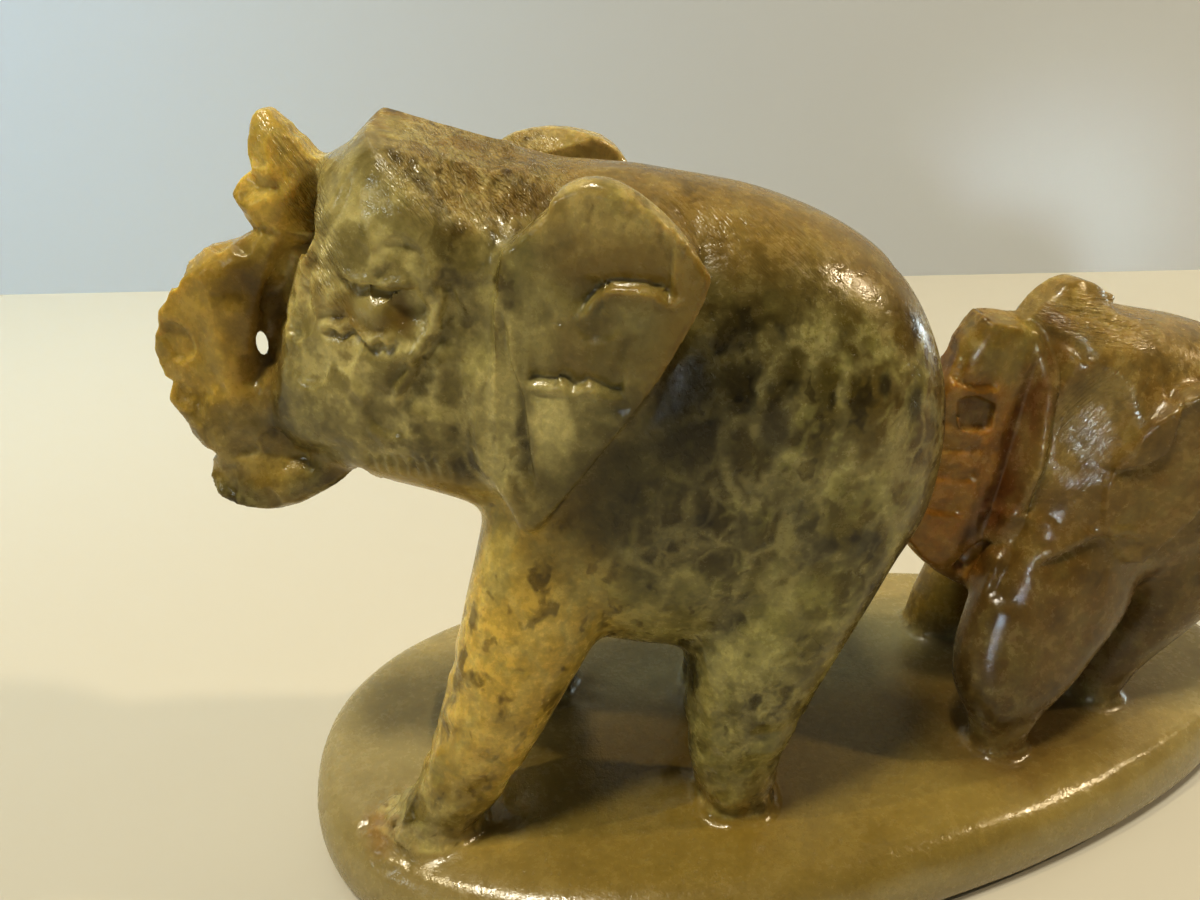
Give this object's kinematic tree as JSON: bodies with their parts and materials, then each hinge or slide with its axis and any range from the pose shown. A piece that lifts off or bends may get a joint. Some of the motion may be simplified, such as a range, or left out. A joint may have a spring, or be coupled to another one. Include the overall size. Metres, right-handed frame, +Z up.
{
  "type": "soapstone elephant sculpture",
  "caption": "Hand-carved soapstone ornament: a large elephant with raised trunk walks ahead of a calf, both carved in one piece with an egg-shaped slab base.",
  "frame": {"origin": "centre of the group's footprint box, at the slab's underside", "axes": "+X from the large elephant's trunk towards the calf's tail, +Y away from the side that the picture shows, +Z up"},
  "size_m": [0.1352, 0.06, 0.0814],
  "materials": {
    "soapstone": "polished, mottled olive and amber, slightly translucent"
  },
  "bodies": {
    "root": {"elephant_carving": "soapstone"}
  },
  "joints": []
}
